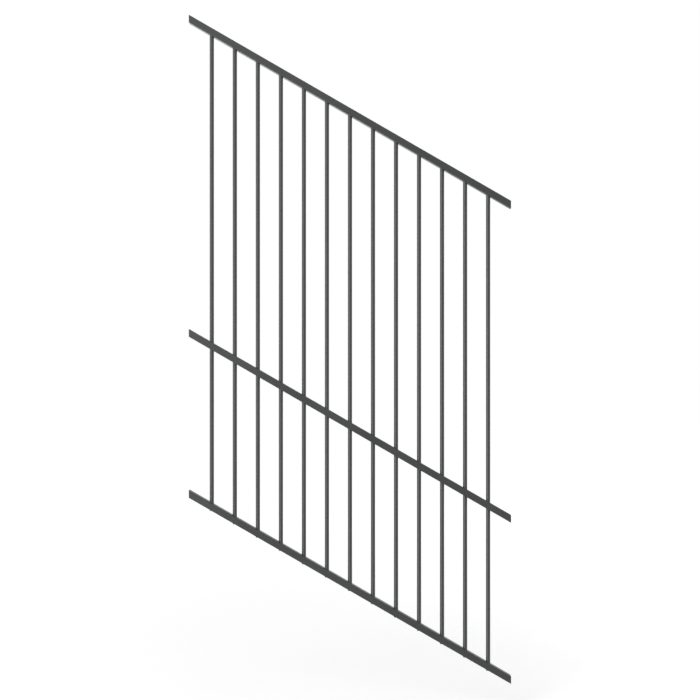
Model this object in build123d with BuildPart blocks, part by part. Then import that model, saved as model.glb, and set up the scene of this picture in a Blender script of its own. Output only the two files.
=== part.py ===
from build123d import *
import os
from math import cos, floor, radians, sin, tan

# A raked fence panel for sloping ground: three square tube rails that fall towards +X, and round tube
# pickets that stand plumb through punched holes in them, welded in place.
# +Z is up, +Y runs from the front of the panel to its back, and the origin is the middle of the panel.

# Driving dimensions, in millimetres and degrees
panel_length = 1200  # level distance between the plumb-cut rail ends
panel_height = 1800  # plumb height from the bottom rail's underside to the top rail's upper face
rake_angle = 30  # fall of the rails below level
middle_rail_rise = 600  # plumb height from the bottom rail's underside to the middle rail's
rail_size = 25  # outside width of the square tube
rail_wall = 1.6
rail_inside_corner = 0.4  # corner radius inside the square tube
picket_diameter = 16  # outside diameter of the round tube
picket_wall = 1.2
picket_gap = 70  # clear gap between neighbouring pickets
hole_clearance = 0.2  # between a picket and its punched hole, all round
top_clearance = 1  # between a picket's top and the inside of the top rail
foot_reach = 1  # of a picket below the bottom rail's underside, on the picket's own centre line
weld_leg = 2  # width of a weld bead on the rail, and its height on the picket
weld_sweep = 90  # angle that a weld bead takes up round the back of its picket

# Rail tube
slope = tan(radians(rake_angle))
plumb_ratio = 1 / cos(radians(rake_angle))  # plumb length over length measured square to the rails
rail_direction = Vector(cos(radians(rake_angle)), 0, -sin(radians(rake_angle)))
rail_normal = Vector(sin(radians(rake_angle)), 0, cos(radians(rake_angle)))
rail_corner = rail_inside_corner + rail_wall
rail_bore = rail_size - 2 * rail_wall
rail_plumb_height = rail_size * plumb_ratio
rail_half_reach = panel_length / 2 * plumb_ratio + rail_size  # uncut half length, past the plumb cut

# Heights of the rail centre lines in the middle of the panel
bottom_level = (rail_plumb_height - panel_height) / 2
middle_level = bottom_level + middle_rail_rise
top_level = (panel_height - rail_plumb_height) / 2

# Pickets: as many as leave at least one full gap at each end of the rails
picket_radius = picket_diameter / 2
picket_pitch = picket_diameter + picket_gap
picket_count = floor((panel_length - picket_gap) / picket_pitch)
picket_places = [(index - (picket_count - 1) / 2) * picket_pitch for index in range(picket_count)]
hole_radius = picket_radius + hole_clearance

# A picket's foot is cut level, so it shows mainly on its uphill side, below the sloping bottom rail. Its top
# stops where its downhill rim would meet the inside of the top rail's falling upper wall.
foot_level = -panel_height / 2 - foot_reach
picket_top_level = panel_height / 2 - rail_wall * plumb_ratio - picket_radius * slope - top_clearance
picket_length = picket_top_level - foot_level
corner_height = panel_height / 2 + panel_length / 2 * slope


def raked(level, place):
    return level - place * slope


def face_plane(level, place, side, lift):
    # parallel to a rail's upper (side 1) or lower (side -1) face, lifted off it, centred on a picket's axis
    height = raked(level, place) + side * (rail_size / 2 + lift) * plumb_ratio
    return Plane((place, 0, height), x_dir=rail_direction, z_dir=side * rail_normal)


def section_plane(level):
    return Plane((0, 0, level), x_dir=(0, 1, 0), z_dir=rail_direction)


os.makedirs("parts", exist_ok=True)

# Rails: square tube laid along the rake, cut plumb at both ends and punched plumb for the pickets. The top
# rail is punched in its lower wall alone, so that its upper face stays closed.
rails = {
    "top_rail": (top_level, False),
    "middle_rail": (middle_level, True),
    "bottom_rail": (bottom_level, True),
}
for rail_name, (level, punched_through) in rails.items():
    with BuildPart() as rail:
        with BuildSketch(section_plane(level)):
            RectangleRounded(rail_size, rail_size, rail_corner)
            RectangleRounded(rail_bore, rail_bore, rail_inside_corner, mode=Mode.SUBTRACT)
        extrude(amount=rail_half_reach, both=True)
        split(bisect_by=Plane.YZ.offset(panel_length / 2), keep=Keep.BOTTOM)
        split(bisect_by=Plane.YZ.offset(-panel_length / 2), keep=Keep.TOP)
        for place in picket_places:
            with BuildSketch(Plane((place, 0, raked(level, place)))):
                Circle(hole_radius)
        extrude(amount=-rail_plumb_height, both=punched_through, mode=Mode.SUBTRACT)
    rail.part.label = rail_name
    export_step(rail.part, f"parts/{rail_name}.step")

# Pickets: round tube cut level at both ends, numbered from the high end of the panel
for number, place in enumerate(picket_places, start=1):
    picket_name = f"picket_{number:02d}"
    with BuildPart() as picket:
        with BuildSketch(Plane((place, 0, raked(foot_level, place)))):
            Circle(picket_radius)
            Circle(picket_radius - picket_wall, mode=Mode.SUBTRACT)
        extrude(amount=picket_length)
    picket.part.label = picket_name
    export_step(picket.part, f"parts/{picket_name}.step")

# Welds: a short fillet bead behind each picket on a rail's sloping face, so that the front stays clean. The
# bead is lofted through ellipses, which are the picket's own section on that slope, grown by the bead's
# thickness. It starts inside the rail and runs on into the picket, is cut back to both of them, and keeps
# only what lies behind the picket.
welded_faces = {
    "top_rail_welds": (top_level, -1),
    "middle_rail_upper_welds": (middle_level, 1),
    "middle_rail_lower_welds": (middle_level, -1),
    "bottom_rail_welds": (bottom_level, 1),
}
bead_front = picket_radius * cos(radians(weld_sweep / 2))
bead_overrun = weld_leg / 2
bead_steps = [(-rail_corner, weld_leg), (0, weld_leg), (weld_leg + bead_overrun, -bead_overrun)]
for weld_name, (level, side) in welded_faces.items():
    with BuildPart() as rail_bar:
        with BuildSketch(section_plane(level)):
            RectangleRounded(rail_size, rail_size, rail_corner)
        extrude(amount=rail_half_reach, both=True)
    with BuildPart() as welds:
        for place in picket_places:
            for lift, thickness in bead_steps:
                with BuildSketch(face_plane(level, place, side, lift)):
                    Ellipse((picket_radius + thickness) * plumb_ratio, picket_radius + thickness)
            loft(ruled=True)
        add(rail_bar.part, mode=Mode.SUBTRACT)
        with BuildSketch():
            with GridLocations(picket_pitch, 0, picket_count, 1):
                Circle(picket_radius)
        extrude(amount=corner_height, both=True, mode=Mode.SUBTRACT)
        split(bisect_by=Plane.XZ.offset(-bead_front), keep=Keep.BOTTOM)
    welds.part.label = weld_name
    export_step(welds.part, f"parts/{weld_name}.step")
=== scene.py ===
import math
import bmesh
import bpy
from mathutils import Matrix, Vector


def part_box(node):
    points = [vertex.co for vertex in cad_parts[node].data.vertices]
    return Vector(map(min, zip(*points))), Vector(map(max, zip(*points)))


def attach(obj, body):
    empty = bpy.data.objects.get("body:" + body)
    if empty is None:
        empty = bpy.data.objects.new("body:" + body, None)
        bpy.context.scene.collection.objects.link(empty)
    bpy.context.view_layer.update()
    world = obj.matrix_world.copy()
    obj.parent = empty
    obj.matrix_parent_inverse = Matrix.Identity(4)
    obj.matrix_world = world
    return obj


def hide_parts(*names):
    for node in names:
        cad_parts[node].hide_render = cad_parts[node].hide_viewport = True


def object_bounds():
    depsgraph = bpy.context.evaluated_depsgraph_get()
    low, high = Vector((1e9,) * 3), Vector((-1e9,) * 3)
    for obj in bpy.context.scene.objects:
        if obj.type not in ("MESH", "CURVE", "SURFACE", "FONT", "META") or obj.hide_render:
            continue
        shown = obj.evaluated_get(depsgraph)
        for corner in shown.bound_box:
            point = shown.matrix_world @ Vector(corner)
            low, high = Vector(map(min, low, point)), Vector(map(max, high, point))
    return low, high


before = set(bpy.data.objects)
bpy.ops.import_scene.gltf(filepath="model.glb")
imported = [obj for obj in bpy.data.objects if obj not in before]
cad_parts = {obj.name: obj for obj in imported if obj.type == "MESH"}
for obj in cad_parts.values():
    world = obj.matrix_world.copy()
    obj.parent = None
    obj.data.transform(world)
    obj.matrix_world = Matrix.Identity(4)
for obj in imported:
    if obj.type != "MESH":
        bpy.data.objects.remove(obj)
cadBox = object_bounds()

print("frame loaded:", len(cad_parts), "nodes")

# places and sizes read off the frame, in metres
picketNodes = sorted(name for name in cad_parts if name.startswith("picket_"))
firstLow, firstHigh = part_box(picketNodes[0])
firstPlace = (firstLow.x + firstHigh.x) / 2
picketRadius = (firstHigh.x - firstLow.x) / 2
picketLength = firstHigh.z - firstLow.z
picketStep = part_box(picketNodes[1])[0] - firstLow  # from one picket to the next, down the rake
slope = -picketStep.z / picketStep.x  # fall of the rails over level distance
plumbRatio = math.sqrt(1 + slope * slope)  # plumb height over height square to a rail

railLow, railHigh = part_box("top_rail")
railSize = railHigh.y - railLow.y
railReach = railHigh.x  # from the middle of the panel to a rail's sawn end
railPlumbHeight = railSize * plumbRatio


def railLevel(node):
    low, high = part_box(node)
    return (low.z + high.z) / 2  # height of the rail's centre line in the middle of the panel


def raked(level, place):
    return level - place * slope


print("picket pitch %.1f mm, fall %.1f degrees" % (picketStep.x * 1000, math.degrees(math.atan(slope))))


# node helpers: an input is given a plain value, or the socket that it comes from
def addNode(tree, kind, inputs=None, **settings):
    node = tree.nodes.new(kind)
    for setting, value in settings.items():
        setattr(node, setting, value)
    for socket, value in (inputs or {}).items():
        if isinstance(value, bpy.types.NodeSocket):
            tree.links.new(value, node.inputs[socket])
        else:
            node.inputs[socket].default_value = value
    return node


def addMath(tree, operation, first, second=0.0):
    return addNode(tree, "ShaderNodeMath", {0: first, 1: second}, operation=operation).outputs[0]


def addRange(tree, value, fromMin, fromMax, toMin, toMax):
    ends = {"Value": value, "From Min": fromMin, "From Max": fromMax, "To Min": toMin, "To Max": toMax}
    return addNode(tree, "ShaderNodeMapRange", ends).outputs[0]


def addMix(tree, share, first, second):
    colours = {"Factor": share, "A": first, "B": second}
    return addNode(tree, "ShaderNodeMix", colours, data_type="RGBA").outputs["Result"]


def newTree(name, kind, inputs, outputs):
    tree = bpy.data.node_groups.new(name, kind)
    for label, socketType in outputs.items():
        tree.interface.new_socket(label, in_out="OUTPUT", socket_type="NodeSocket" + socketType)
    for label, socketType in inputs.items():
        tree.interface.new_socket(label, in_out="INPUT", socket_type="NodeSocket" + socketType)
    return tree, tree.nodes.new("NodeGroupInput").outputs, tree.nodes.new("NodeGroupOutput").inputs


# helpers for the trees that make one thing at each picket
def realize(tree, geometry):
    return addNode(tree, "GeometryNodeRealizeInstances", {"Geometry": geometry}).outputs[0]


def addRow(tree, into, single, turn=(0, 0, 0)):
    line = {"Count": into["Count"], "Start Location": into["First place"], "Offset": into["Step"]}
    places = addNode(tree, "GeometryNodeMeshLine", line).outputs[0]
    copies = {"Points": places, "Instance": single, "Rotation": turn}
    return addNode(tree, "GeometryNodeInstanceOnPoints", copies).outputs[0]


def endTree(tree, into, out, geometry):
    coated = {"Geometry": realize(tree, geometry), "Material": into["Finish"]}
    tree.links.new(addNode(tree, "GeometryNodeSetMaterial", coated).outputs[0], out["Geometry"])
    return tree


# object helpers
def addObject(name, data):
    added = bpy.data.objects.new(name, data)
    bpy.context.collection.objects.link(added)
    return added


def bakeModifiers(piece):
    evaluated = piece.evaluated_get(bpy.context.evaluated_depsgraph_get())
    mesh = bpy.data.meshes.new_from_object(evaluated)
    mesh.name = piece.name
    piece.modifiers.clear()
    piece.data = mesh
    return piece


def growMesh(name, tree, values, baseMesh=None):
    piece = addObject(name, baseMesh or bpy.data.meshes.new(name))
    modifier = piece.modifiers.new("grow", "NODES")
    modifier.node_group = tree
    for socket in tree.interface.items_tree:
        if socket.in_out == "INPUT" and socket.name in values:
            modifier[socket.identifier] = values[socket.name]
    return bakeModifiers(piece)


def settleNormals(piece, creaseAngle):
    piece.data.shade_smooth()
    piece.data.set_sharp_from_angle(angle=math.radians(creaseAngle))
    weigh = piece.modifiers.new("weigh", "WEIGHTED_NORMAL")  # broad faces stay flat beside narrow round ones
    weigh.keep_sharp = True
    return bakeModifiers(piece)


def markBore(piece, isBore, boreDepth):
    # tells the coat which points lie inside a tube, and how far from its open end
    inside = piece.data.attributes.new("inside", "FLOAT", "POINT")
    depth = piece.data.attributes.new("depth", "FLOAT", "POINT")
    for index, vert in enumerate(piece.data.vertices):
        inside.data[index].value = float(isBore(vert.co))
        depth.data[index].value = boreDepth(vert.co)


def fitPiece(piece, *nodes):
    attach(piece, "root")
    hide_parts(*nodes)
    print("%s: %d faces" % (piece.name, len(piece.data.polygons)))


# camera: square on to the panel, at the photograph's scale
shot = {
    "imageSize": 700,
    "lens": 50.0,
    "sensor": 36.0,
    "metresPerPixel": 0.0037227,  # on the front faces of the rails
    "panelMiddle": (349.94, 349.30),  # pixel of the middle of the panel
    "viewReach": 200,  # how far the camera sees
}


def buildCamera():
    scale = shot["metresPerPixel"]
    distance = shot["imageSize"] * shot["lens"] / shot["sensor"] * scale
    across, down = [(pixel - shot["imageSize"] / 2) * scale for pixel in shot["panelMiddle"]]
    camera = addObject("camera", bpy.data.cameras.new("camera"))
    camera.data.lens = shot["lens"]
    camera.data.sensor_width = shot["sensor"]
    camera.data.clip_end = shot["viewReach"]
    camera.location = (-across, -railSize / 2 - distance, down)
    camera.rotation_euler = (math.pi / 2, 0, 0)
    bpy.context.scene.camera = camera
    print("camera %.3f m in front of the panel" % distance)


buildCamera()

# studio: pale floor, a tall soft lamp at the left and a weaker one at the right. The coat doesn't reflect
# these but the surround: bright at the sides and behind, dimmer in front and overhead, with one broad glow
# at the left in front and another behind
studio = {
    "floorDrop": 0.09,  # below the panel's lowest corner
    "floorReach": 60.0,
    "floorColour": (0.86, 0.86, 0.86, 1),
    "floorLift": (0.35, 0.575),  # plain white added to the floor where it is seen, near and far
    "floorFade": (1.45, 4.0),  # metres from the middle of the panel at which near ends and far begins
    "surroundFill": 0.5,  # brightness for matt surfaces
    "frontGloss": 0.35,  # brightness in reflections: behind the camera,
    "sideGloss": 1.0,  # at the sides,
    "overheadGloss": 0.4,  # overhead,
    "backGloss": (0.45, 0.9),  # and behind the panel, low down and at the horizon
    "sideFade": (-1.0, -0.4),  # from front to sides, where -1 is straight in front and 1 straight behind,
    "backFade": (0.2, 0.6),  # from sides to back,
    "horizonFade": (-0.25, 0.05),  # and behind from low down to the horizon, where -1 is straight below
    "leftGlow": 2.6,  # how much brighter it is in the glow at the left,
    "leftGlowSide": (-0.71, -0.71, 0.0),  # where that lies,
    "leftGlowEdge": 0.78,  # and the cosine of the angle between its middle and its edge
    "backGlow": 1.1,
    "backGlowSide": (-0.36, 0.93, 0.0),
    "backGlowEdge": 0.9,
    "keyPlace": (-2.7, -2.7, 2.2),
    "keySize": (1.6, 3.2),
    "keyPower": 84,
    "sidePlace": (3.4, 1.2, 0.0),
    "sideSize": (1.6, 3.2),
    "sidePower": 40,
}


def addSight(tree):
    # whether a ray looks straight at a thing, or sees it mirrored
    path = addNode(tree, "ShaderNodeLightPath").outputs
    straight = addMath(tree, "MAXIMUM", path["Is Camera Ray"], path["Is Transmission Ray"])
    return straight, path["Is Glossy Ray"]


def addGlow(tree, direction, name):
    middle = {0: direction, 1: studio[name + "Side"]}
    nearness = addNode(tree, "ShaderNodeVectorMath", middle, operation="DOT_PRODUCT").outputs["Value"]
    return addRange(tree, nearness, studio[name + "Edge"], 1.0, 0.0, studio[name])


def buildSurround():
    world = bpy.data.worlds.new("surround")
    bpy.context.scene.world = world
    world.use_nodes = True
    tree = world.node_tree
    tree.nodes.clear()
    direction = addNode(tree, "ShaderNodeTexCoord").outputs["Generated"]
    parts = addNode(tree, "ShaderNodeSeparateXYZ", {0: direction}).outputs
    around = addRange(tree, parts["Y"], *studio["sideFade"], studio["frontGloss"], studio["sideGloss"])
    behind = addRange(tree, parts["Z"], *studio["horizonFade"], *studio["backGloss"])
    level = addRange(tree, parts["Y"], *studio["backFade"], around, behind)
    graded = addRange(tree, parts["Z"], 0.0, 1.0, level, studio["overheadGloss"])
    glows = addMath(tree, "ADD", addGlow(tree, direction, "leftGlow"), addGlow(tree, direction, "backGlow"))
    gloss = addMath(tree, "ADD", graded, glows)
    straight, mirrored = addSight(tree)
    plain = addRange(tree, straight, 0.0, 1.0, studio["surroundFill"], 1.0)
    strength = addRange(tree, mirrored, 0.0, 1.0, plain, gloss)
    sky = addNode(tree, "ShaderNodeBackground", {"Color": (1, 1, 1, 1), "Strength": strength})
    addNode(tree, "ShaderNodeOutputWorld", {"Surface": sky.outputs[0]})


def buildFloor():
    reach = studio["floorReach"]
    height = cadBox[0].z - studio["floorDrop"]
    corners = [(side * reach, depth * reach, height) for side, depth in [(-1, -1), (1, -1), (1, 1), (-1, 1)]]
    mesh = bpy.data.meshes.new("floor")
    mesh.from_pydata(corners, [], [(0, 1, 2, 3)])
    floor = addObject("floor", mesh)
    floor.visible_glossy = False
    material = bpy.data.materials.new("paleFloor")
    mesh.materials.append(material)
    material.use_nodes = True
    tree = material.node_tree
    tree.nodes.clear()
    place = addNode(tree, "ShaderNodeTexCoord").outputs["Object"]
    distance = addNode(tree, "ShaderNodeVectorMath", {0: place}, operation="LENGTH").outputs["Value"]
    lift = addRange(tree, distance, *studio["floorFade"], *studio["floorLift"])
    seen = addMath(tree, "MULTIPLY", addSight(tree)[0], lift)
    white = addNode(tree, "ShaderNodeEmission", {"Color": (1, 1, 1, 1), "Strength": seen})
    matt = addNode(tree, "ShaderNodeBsdfDiffuse", {"Color": studio["floorColour"]})
    look = addNode(tree, "ShaderNodeAddShader", {0: matt.outputs[0], 1: white.outputs[0]})
    addNode(tree, "ShaderNodeOutputMaterial", {"Surface": look.outputs[0]})


def addLamp(name, place, size, power):
    lamp = addObject(name, bpy.data.lights.new(name, "AREA"))
    lamp.data.shape = "RECTANGLE"
    lamp.data.size, lamp.data.size_y = size
    lamp.data.energy = power
    lamp.location = place
    lamp.rotation_euler = (-Vector(place)).to_track_quat("-Z", "Y").to_euler()
    lamp.visible_camera = False
    lamp.visible_glossy = False


bpy.context.scene.view_settings.view_transform = "Standard"
buildSurround()
buildFloor()
addLamp("keyLamp", studio["keyPlace"], studio["keySize"], studio["keyPower"])
addLamp("sideLamp", studio["sidePlace"], studio["sideSize"], studio["sidePower"])
print("studio ready")

# finishes: satin dark-grey powder coat on tube and weld, and bare zinc deep inside the open tubes
tubeCoat = {
    "dark": (0.0618, 0.066, 0.0646, 1),
    "pale": (0.0738, 0.078, 0.0766, 1),
    "cloudSize": 0.16,  # metres across a patch of slightly thicker coat
    "peelSize": 0.0024,  # metres across a dimple of orange peel
    "grainSize": 0.0005,
    "peelDepth": 0.00002,
    "rough": (0.27, 0.34),
}
weldCoat = {
    "dark": (0.0578, 0.062, 0.0606, 1),
    "pale": (0.0698, 0.074, 0.0726, 1),
    "cloudSize": 0.02,
    "peelSize": 0.0012,
    "grainSize": 0.0004,
    "peelDepth": 0.00003,
    "rough": (0.38, 0.5),
}
coatPattern = {
    "cloudDetail": 3.0,
    "cloudRange": (0.3, 0.7),  # of the noise, from dark to pale
    "fineDetail": 1.0,  # of orange peel and grain
    "grainShare": 0.2,  # height of the grain over that of the orange peel
}
bareZinc = {
    "dull": (0.26, 0.27, 0.28, 1),
    "bright": (0.42, 0.43, 0.44, 1),
    "spangleSize": 0.005,
    "rough": 0.48,
    "sprayReach": (0.01, 0.06),  # metres into an open tube over which the coat thins out
    "sprayPatch": 0.012,  # metres across its ragged patches
    "patchDetail": 4.0,
    "patchRange": (0.25, 0.75),  # of the noise,
    "depthFactor": (0.5, 1.5),  # by which a place counts as less or more deep
}


def sizedNoise(tree, place, size, detail):
    noise = {"Vector": place, "Scale": addMath(tree, "DIVIDE", 1.0, size), "Detail": detail}
    return addNode(tree, "ShaderNodeTexNoise", noise).outputs["Fac"]


def buildCoatGroup():
    tree, into, out = newTree(
        "coatSurface", "ShaderNodeTree",
        {"Place": "Vector", "Dark": "Color", "Pale": "Color", "Cloud size": "Float", "Peel size": "Float",
         "Grain size": "Float", "Smoothest": "Float", "Roughest": "Float"},
        {"Colour": "Color", "Roughness": "Float", "Height": "Float"})
    clouds = sizedNoise(tree, into["Place"], into["Cloud size"], coatPattern["cloudDetail"])
    peel = sizedNoise(tree, into["Place"], into["Peel size"], coatPattern["fineDetail"])
    grain = sizedNoise(tree, into["Place"], into["Grain size"], coatPattern["fineDetail"])
    share = addRange(tree, clouds, *coatPattern["cloudRange"], 0.0, 1.0)
    grainHeight = addMath(tree, "MULTIPLY", grain, coatPattern["grainShare"])
    tree.links.new(addMix(tree, share, into["Dark"], into["Pale"]), out["Colour"])
    tree.links.new(addRange(tree, share, 0.0, 1.0, into["Smoothest"], into["Roughest"]), out["Roughness"])
    tree.links.new(addMath(tree, "ADD", peel, grainHeight), out["Height"])
    return tree


def buildCoat(name, values):
    material = bpy.data.materials.new(name)
    material.use_nodes = True
    tree = material.node_tree
    shader = tree.nodes["Principled BSDF"].inputs
    smoothest, roughest = values["rough"]
    place = addNode(tree, "ShaderNodeTexCoord").outputs["Object"]
    surface = addNode(tree, "ShaderNodeGroup", {
        "Place": place, "Dark": values["dark"], "Pale": values["pale"], "Cloud size": values["cloudSize"],
        "Peel size": values["peelSize"], "Grain size": values["grainSize"], "Smoothest": smoothest,
        "Roughest": roughest}, node_tree=coatGroup, name="coat").outputs
    bump = addNode(tree, "ShaderNodeBump", {"Height": surface["Height"], "Distance": values["peelDepth"]})
    tree.links.new(surface["Colour"], shader["Base Color"])
    tree.links.new(surface["Roughness"], shader["Roughness"])
    tree.links.new(bump.outputs[0], shader["Normal"])
    return material


def buildTubeCoat():
    material = buildCoat("tubeCoat", tubeCoat)
    tree = material.node_tree
    shader = tree.nodes["Principled BSDF"].inputs
    coat = tree.nodes["coat"].outputs
    # bare zinc takes over where the coat thins out inside a tube
    place = addNode(tree, "ShaderNodeTexCoord").outputs["Object"]
    inside = addNode(tree, "ShaderNodeAttribute", attribute_name="inside").outputs["Fac"]
    depth = addNode(tree, "ShaderNodeAttribute", attribute_name="depth").outputs["Fac"]
    patch = sizedNoise(tree, place, bareZinc["sprayPatch"], bareZinc["patchDetail"])
    factor = addRange(tree, patch, *bareZinc["patchRange"], *bareZinc["depthFactor"])
    thin = addRange(tree, addMath(tree, "MULTIPLY", depth, factor), *bareZinc["sprayReach"], 0.0, 1.0)
    bare = addMath(tree, "MULTIPLY", inside, thin)
    spangle = addNode(tree, "ShaderNodeTexVoronoi", {"Vector": place, "Scale": 1 / bareZinc["spangleSize"]})
    crystal = addNode(tree, "ShaderNodeSeparateColor", {0: spangle.outputs["Color"]}).outputs[0]
    zinc = addMix(tree, crystal, bareZinc["dull"], bareZinc["bright"])
    roughness = addRange(tree, bare, 0.0, 1.0, coat["Roughness"], bareZinc["rough"])
    tree.links.new(addMix(tree, bare, coat["Colour"], zinc), shader["Base Color"])
    tree.links.new(roughness, shader["Roughness"])
    tree.links.new(bare, shader["Metallic"])
    return material


coatGroup = buildCoatGroup()
tubeFinish = buildTubeCoat()
weldFinish = buildCoat("weldCoat", weldCoat)
print("finishes ready")

# rails: square tube sawn plumb, with broken edges and the tube mill's seam ridge inside the back wall. A
# rail is a prism that falls with the rake, so each ring of its points stands in one plumb plane
railTube = {
    "wall": 0.0016,
    "insideCorner": 0.0004,
    "cornerSteps": 6,
    "edgeBreak": 0.0003,
    "edgeSteps": 3,
    "seamWidth": 0.0022,
    "seamCrown": 0.00088,  # width of the ridge's flat top
    "seamHeight": 0.0004,
    "holeClearance": 0.0002,  # round a picket
    "holeSides": 64,
    "crease": 40,  # degrees from which an edge stays sharp
}


def tubeSection(inset):
    half = railSize / 2 - inset
    radius = railTube["insideCorner"] + railTube["wall"] - inset
    steps = railTube["cornerSteps"]
    points = []
    for quarter, (side, rise) in enumerate([(1, 1), (-1, 1), (-1, -1), (1, -1)]):
        for step in range(steps + 1):
            angle = (quarter + step / steps) * math.pi / 2
            points.append((side * (half - radius) + radius * math.cos(angle),
                           rise * (half - radius) + radius * math.sin(angle)))
    # the seam's ridge stands on the bore's outline alone
    ridge = railTube["seamHeight"] if inset == railTube["wall"] else 0.0
    foot, crown = railTube["seamWidth"] / 2, railTube["seamCrown"] / 2
    return points + [(half, -foot), (half - ridge, -crown), (half - ridge, crown), (half, foot)]


def sawnEnd():
    wall, edge = railTube["wall"], railTube["edgeBreak"]
    angles = [step / railTube["edgeSteps"] * math.pi / 2 for step in range(railTube["edgeSteps"] + 1)]
    outer = [(edge * (1 - math.cos(angle)), edge * (1 - math.sin(angle))) for angle in angles]
    inner = [(wall - edge * (1 - math.sin(angle)), edge * (1 - math.cos(angle))) for angle in angles]
    return outer + inner  # (inset into the wall, distance back from the cut), from the outside in


def buildTube(level):
    # rings of points from the outside over one sawn end, through the bore and back over the other end
    end = sawnEnd()
    rings = [(inset, railReach - back) for inset, back in end]
    rings += [(inset, back - railReach) for inset, back in reversed(end)]
    shell = bmesh.new()
    loops = []
    for inset, place in rings:
        loops.append([shell.verts.new((place, across, raked(level, place) + rise * plumbRatio))
                      for across, rise in tubeSection(inset)])
    for index, loop in enumerate(loops):
        following = loops[(index + 1) % len(loops)]
        for spot in range(len(loop)):
            turn = (spot + 1) % len(loop)
            shell.faces.new((loop[spot], loop[turn], following[turn], following[spot]))
    bmesh.ops.recalc_face_normals(shell, faces=shell.faces)
    mesh = bpy.data.meshes.new("tube")
    shell.to_mesh(mesh)
    shell.free()
    return mesh


def buildPunchTree():
    tree, into, out = newTree(
        "punchedHoles", "GeometryNodeTree",
        {"Tube": "Geometry", "Count": "Int", "First place": "Vector", "Step": "Vector", "Radius": "Float",
         "Depth": "Float", "Sides": "Int", "Finish": "Material"},
        {"Geometry": "Geometry"})
    punch = addNode(tree, "GeometryNodeMeshCylinder",
                    {"Vertices": into["Sides"], "Radius": into["Radius"], "Depth": into["Depth"]})
    punches = realize(tree, addRow(tree, into, punch.outputs["Mesh"]))
    cut = addNode(tree, "GeometryNodeMeshBoolean", {"Mesh 1": into["Tube"], "Mesh 2": punches},
                  operation="DIFFERENCE")
    return endTree(tree, into, out, cut.outputs[0])


def buildRail(name, node, punchDepth, punchDrop):
    level = railLevel(node)

    def isBore(spot):
        rise = (spot.z - raked(level, spot.x)) / plumbRatio
        return max(abs(spot.y), abs(rise)) < (railSize - railTube["wall"]) / 2

    def boreDepth(spot):
        return railReach - abs(spot.x)

    values = {
        "Count": len(picketNodes),
        "First place": (firstPlace, 0.0, raked(level, firstPlace) - punchDrop),
        "Step": tuple(picketStep),
        "Radius": picketRadius + railTube["holeClearance"],
        "Depth": punchDepth,
        "Sides": railTube["holeSides"],
        "Finish": tubeFinish,
    }
    rail = settleNormals(growMesh(name, punchTree, values, buildTube(level)), railTube["crease"])
    markBore(rail, isBore, boreDepth)
    fitPiece(rail, node)


punchTree = buildPunchTree()
buildRail("topRail", "top_rail", railPlumbHeight, railPlumbHeight / 2)  # through the lower wall alone
buildRail("middleRail", "middle_rail", 2 * railPlumbHeight, 0.0)
buildRail("bottomRail", "bottom_rail", 2 * railPlumbHeight, 0.0)
print("rails done")

# pickets: round tube, made by sweeping the section of its wall round a circle
picketTube = {
    "wall": 0.0012,
    "rim": 0.0003,  # rounding of the sawn rims
    "rimSteps": 3,
    "sides": 48,
    "crease": 40,
}


def buildPicketTree():
    tree, into, out = newTree(
        "picketTubes", "GeometryNodeTree",
        {"Count": "Int", "First place": "Vector", "Step": "Vector", "Radius": "Float", "Wall": "Float",
         "Length": "Float", "Rim": "Float", "Rim steps": "Int", "Sides": "Int", "Finish": "Material"},
        {"Geometry": "Geometry"})
    halfWall = addMath(tree, "MULTIPLY", into["Wall"], 0.5)
    middleRadius = addMath(tree, "SUBTRACT", into["Radius"], halfWall)
    ring = addNode(tree, "GeometryNodeCurvePrimitiveCircle",
                   {"Resolution": into["Sides"], "Radius": middleRadius})
    wall = addNode(tree, "GeometryNodeCurvePrimitiveQuadrilateral",
                   {"Width": into["Wall"], "Height": into["Length"]})
    rims = addNode(tree, "GeometryNodeFilletCurve",
                   {"Curve": wall.outputs[0], "Count": into["Rim steps"], "Radius": into["Rim"]},
                   mode="POLY")
    swept = addNode(tree, "GeometryNodeCurveToMesh",
                    {"Curve": ring.outputs["Curve"], "Profile Curve": rims.outputs[0]})
    return endTree(tree, into, out, addRow(tree, into, swept.outputs[0]))


def buildPickets():
    def nearestFoot(spot):
        steps = round((spot.x - firstPlace) / picketStep.x)
        return Vector((firstPlace, 0.0, firstLow.z)) + steps * picketStep

    def isBore(spot):
        offset = spot - nearestFoot(spot)
        return math.hypot(offset.x, offset.y) < picketRadius - picketTube["wall"] / 2

    def boreDepth(spot):
        return spot.z - nearestFoot(spot).z

    values = {
        "Count": len(picketNodes),
        "First place": tuple((firstLow + firstHigh) / 2),
        "Step": tuple(picketStep),
        "Radius": picketRadius,
        "Wall": picketTube["wall"],
        "Length": picketLength,
        "Rim": picketTube["rim"],
        "Rim steps": picketTube["rimSteps"],
        "Sides": picketTube["sides"],
        "Finish": tubeFinish,
    }
    pickets = settleNormals(growMesh("pickets", buildPicketTree(), values), picketTube["crease"])
    markBore(pickets, isBore, boreDepth)
    fitPiece(pickets, *picketNodes)


buildPickets()
print("pickets done")

# welds: a short rippled fillet bead behind each picket, on a rail's sloping face
weldBead = {
    "root": 0.0008,  # how deep the bead's own centre lies, in the rail and in the picket's wall
    "sectionPoints": 8,
    "ripples": 10,
    "ripplePoints": 6,
    "rippleDepth": 0.1,  # share of the bead's radius
    "wander": 0.16,  # uneven laying, share of the bead's radius
    "wanderSize": 0.005,
    "endShare": 0.26,  # share of the bead's half length over which each end rounds off,
    "endSize": 0.32,  # down to this share of its radius, which lies under the metal
    "drift": 0.06,  # radians that a bead may lie off the middle of its picket's back
    "seed": 7,
}


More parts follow.
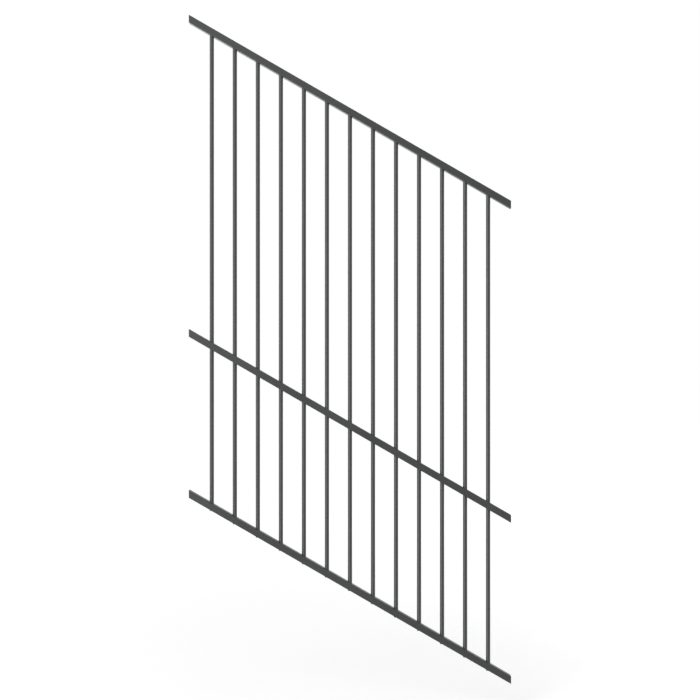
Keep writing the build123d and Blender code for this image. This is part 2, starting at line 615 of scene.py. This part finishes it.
def buildWeldTree():
    tree, into, out = newTree(
        "weldBeads", "GeometryNodeTree",
        {"Count": "Int", "First place": "Vector", "Step": "Vector", "Slope": "Float", "Ring radius": "Float",
         "Half sweep": "Float", "Drift": "Float", "Bead radius": "Float", "Start angle": "Float",
         "Section points": "Int", "Ripples": "Int", "Ripple points": "Int", "Ripple depth": "Float",
         "Wander": "Float", "Wander size": "Float", "End share": "Float", "End size": "Float",
         "Seed": "Int", "Finish": "Material"},
        {"Geometry": "Geometry"})
    # level arcs behind the pickets, each a little off the middle
    arcSteps = addMath(tree, "MULTIPLY", into["Ripples"], into["Ripple points"])
    arc = addNode(tree, "GeometryNodeCurveArc",
                  {"Resolution": addMath(tree, "ADD", arcSteps, 1.0), "Radius": into["Ring radius"],
                   "Start Angle": addMath(tree, "SUBTRACT", math.pi / 2, into["Half sweep"]),
                   "Sweep Angle": addMath(tree, "MULTIPLY", into["Half sweep"], 2.0)})
    drift = addNode(tree, "FunctionNodeRandomValue",
                    {"Min": addMath(tree, "MULTIPLY", into["Drift"], -1.0), "Max": into["Drift"],
                     "Seed": into["Seed"]})
    turn = addNode(tree, "ShaderNodeCombineXYZ", {"Z": drift.outputs["Value"]})
    arcs = realize(tree, addRow(tree, into, arc.outputs["Curve"], turn.outputs[0]))
    # the bead shrinks towards the end of each ripple, where the next one laps over it, and wanders a little
    along = addNode(tree, "GeometryNodeSplineParameter").outputs["Factor"]
    ripple = addMath(tree, "FRACT", addMath(tree, "MULTIPLY", along, into["Ripples"]))
    fall = addMath(tree, "MULTIPLY", addMath(tree, "POWER", ripple, 2.0), into["Ripple depth"])
    noise = addNode(tree, "ShaderNodeTexNoise", {"Scale": addMath(tree, "DIVIDE", 1.0, into["Wander size"])})
    wander = addMath(tree, "MULTIPLY", addMath(tree, "SUBTRACT", noise.outputs[0], 0.5), into["Wander"])
    size = addMath(tree, "ADD", addMath(tree, "SUBTRACT", 1.0, fall), wander)
    # it rounds off at both ends, and runs out under the metal
    fromMiddle = addMath(tree, "ABSOLUTE", addRange(tree, along, 0.0, 1.0, -1.0, 1.0))
    straight = addMath(tree, "SUBTRACT", 1.0, into["End share"])
    end = addMath(tree, "POWER", addRange(tree, fromMiddle, straight, 1.0, 0.0, 1.0), 2.0)
    least = addMath(tree, "POWER", into["End size"], 2.0)
    taper = addMath(tree, "SQRT", addRange(tree, end, 0.0, 1.0, 1.0, least))
    section = addNode(tree, "GeometryNodeCurveArc",
                      {"Resolution": into["Section points"], "Radius": into["Bead radius"],
                       "Start Angle": into["Start angle"], "Sweep Angle": math.pi / 2,
                       "Connect Center": True})
    level = addNode(tree, "GeometryNodeCurveToMesh",
                    {"Curve": arcs, "Profile Curve": section.outputs["Curve"],
                     "Scale": addMath(tree, "MULTIPLY", size, taper), "Fill Caps": True})
    # sheared to lie along the sloping face
    position = addNode(tree, "GeometryNodeInputPosition").outputs[0]
    here = addNode(tree, "ShaderNodeSeparateXYZ", {0: position}).outputs["X"]
    first = addNode(tree, "ShaderNodeSeparateXYZ", {0: into["First place"]}).outputs["X"]
    drop = addMath(tree, "MULTIPLY", addMath(tree, "SUBTRACT", first, here), into["Slope"])
    offset = addNode(tree, "ShaderNodeCombineXYZ", {"Z": drop})
    laid = addNode(tree, "GeometryNodeSetPosition",
                   {"Geometry": level.outputs[0], "Offset": offset.outputs[0]})
    return endTree(tree, into, out, laid.outputs[0])


def buildWelds(name, node, railNode, side):
    low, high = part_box(node)
    leg, root = high.y - picketRadius, weldBead["root"]
    rootHeight = raked(railLevel(railNode), firstPlace) + side * (railPlumbHeight / 2 - root)
    values = {
        "Count": len(picketNodes),
        "First place": (firstPlace, 0.0, rootHeight),
        "Step": (picketStep.x, 0.0, 0.0),
        "Slope": slope,
        "Ring radius": picketRadius - root,
        "Half sweep": math.acos(low.y / (picketRadius + leg / 2)),
        "Drift": weldBead["drift"],
        "Bead radius": math.hypot(leg + root, root),
        "Start angle": -math.pi / 2 if side > 0 else 0.0,  # the sweep turns the section upside down
        "Section points": weldBead["sectionPoints"],
        "Ripples": weldBead["ripples"],
        "Ripple points": weldBead["ripplePoints"],
        "Ripple depth": weldBead["rippleDepth"],
        "Wander": weldBead["wander"],
        "Wander size": weldBead["wanderSize"],
        "End share": weldBead["endShare"],
        "End size": weldBead["endSize"],
        "Seed": weldBead["seed"],
        "Finish": weldFinish,
    }
    welds = growMesh(name, weldTree, values)
    welds.data.shade_smooth()
    fitPiece(welds, node)


weldTree = buildWeldTree()
buildWelds("topRailWelds", "top_rail_welds", "top_rail", -1)
buildWelds("middleRailUpperWelds", "middle_rail_upper_welds", "middle_rail", 1)
buildWelds("middleRailLowerWelds", "middle_rail_lower_welds", "middle_rail", -1)
buildWelds("bottomRailWelds", "bottom_rail_welds", "bottom_rail", 1)
print("welds done")
